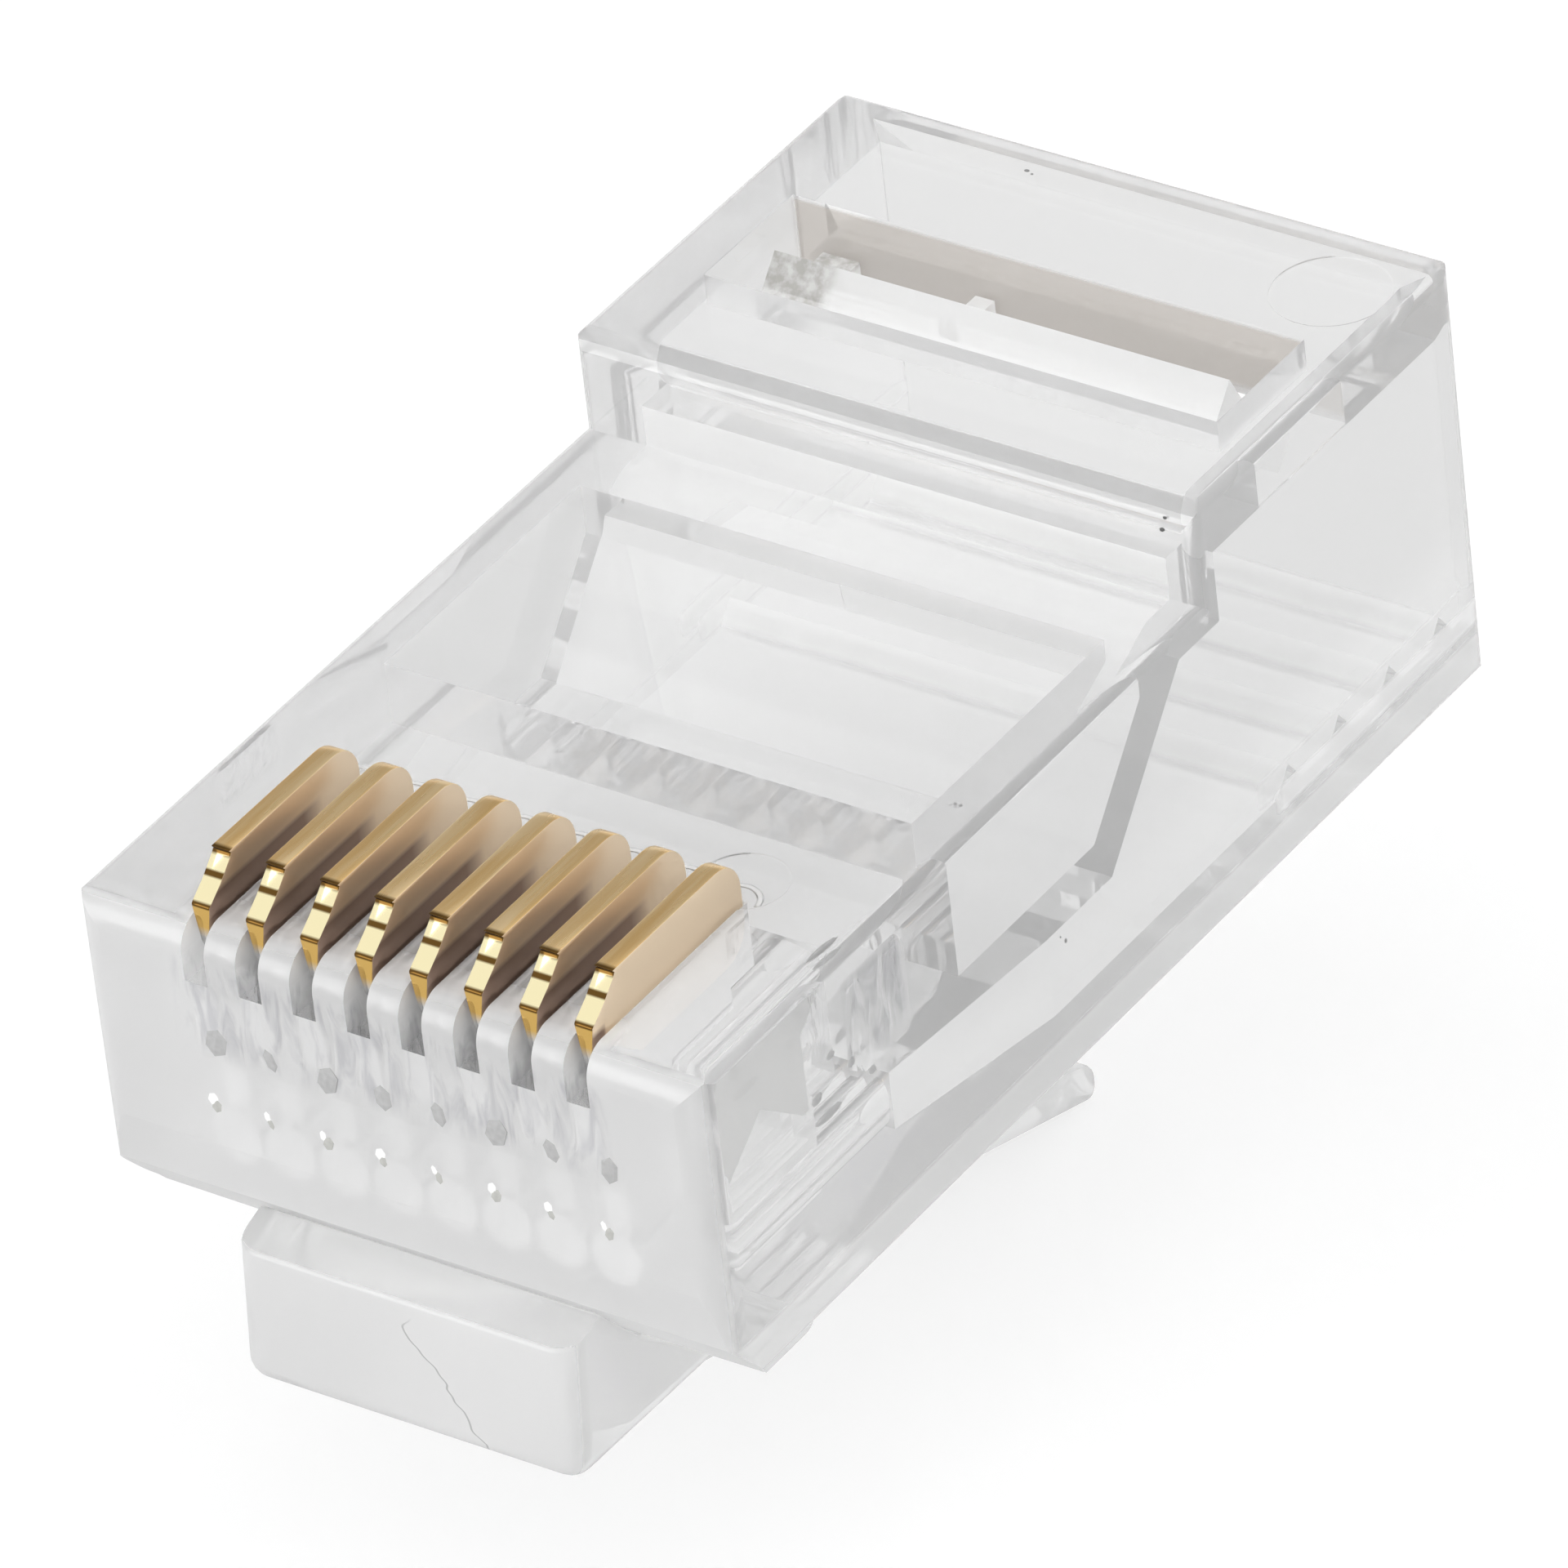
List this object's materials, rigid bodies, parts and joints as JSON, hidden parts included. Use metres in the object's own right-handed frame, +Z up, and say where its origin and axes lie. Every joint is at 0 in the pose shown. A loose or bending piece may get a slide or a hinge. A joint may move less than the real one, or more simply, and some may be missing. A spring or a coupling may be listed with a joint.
{
  "type": "rj45 modular plug",
  "caption": "Clear modular plug for network cable, with a row of gold contacts, a spring latch, a fold-down jacket clamp and an open cable cavity.",
  "frame": {"origin": "on the nose's front face, at mid-width, level with the body's latch-side surface", "axes": "+Y from the nose to the cable entry, +X across the contact row, +Z up, away from the latch, with the contacts on top"},
  "size_m": [0.0116, 0.0226, 0.0137],
  "materials": {
    "clear_plastic": "polished clear polycarbonate",
    "gold_plate": "gold-plated phosphor bronze"
  },
  "bodies": {
    "housing": {"housing": "clear_plastic"},
    "latch": {"latch": "clear_plastic"},
    "jacket_clamp": {"jacket_clamp": "clear_plastic"},
    "contacts": {"contact_1": "gold_plate", "contact_2": "gold_plate", "contact_3": "gold_plate", "contact_4": "gold_plate", "contact_5": "gold_plate", "contact_6": "gold_plate", "contact_7": "gold_plate", "contact_8": "gold_plate"}
  },
  "joints": [
    {"name": "latch_press", "type": "hinge", "parent": "housing", "child": "latch", "pos_m": [0, 0.0018, -0.0004], "axis": [1, 0, 0], "range_deg": [0, 16], "stiffness_Nm_per_rad": 0.05},
    {"name": "jacket_clamp_fold", "type": "hinge", "parent": "housing", "child": "jacket_clamp", "pos_m": [0, 0.01648, 0.0063], "axis": [-1, 0, 0], "range_deg": [0, 45]},
    {"name": "contacts_crimp", "type": "slide", "parent": "housing", "child": "contacts", "axis": [0, 0, -1], "range_m": [0, 0.0011]}
  ]
}
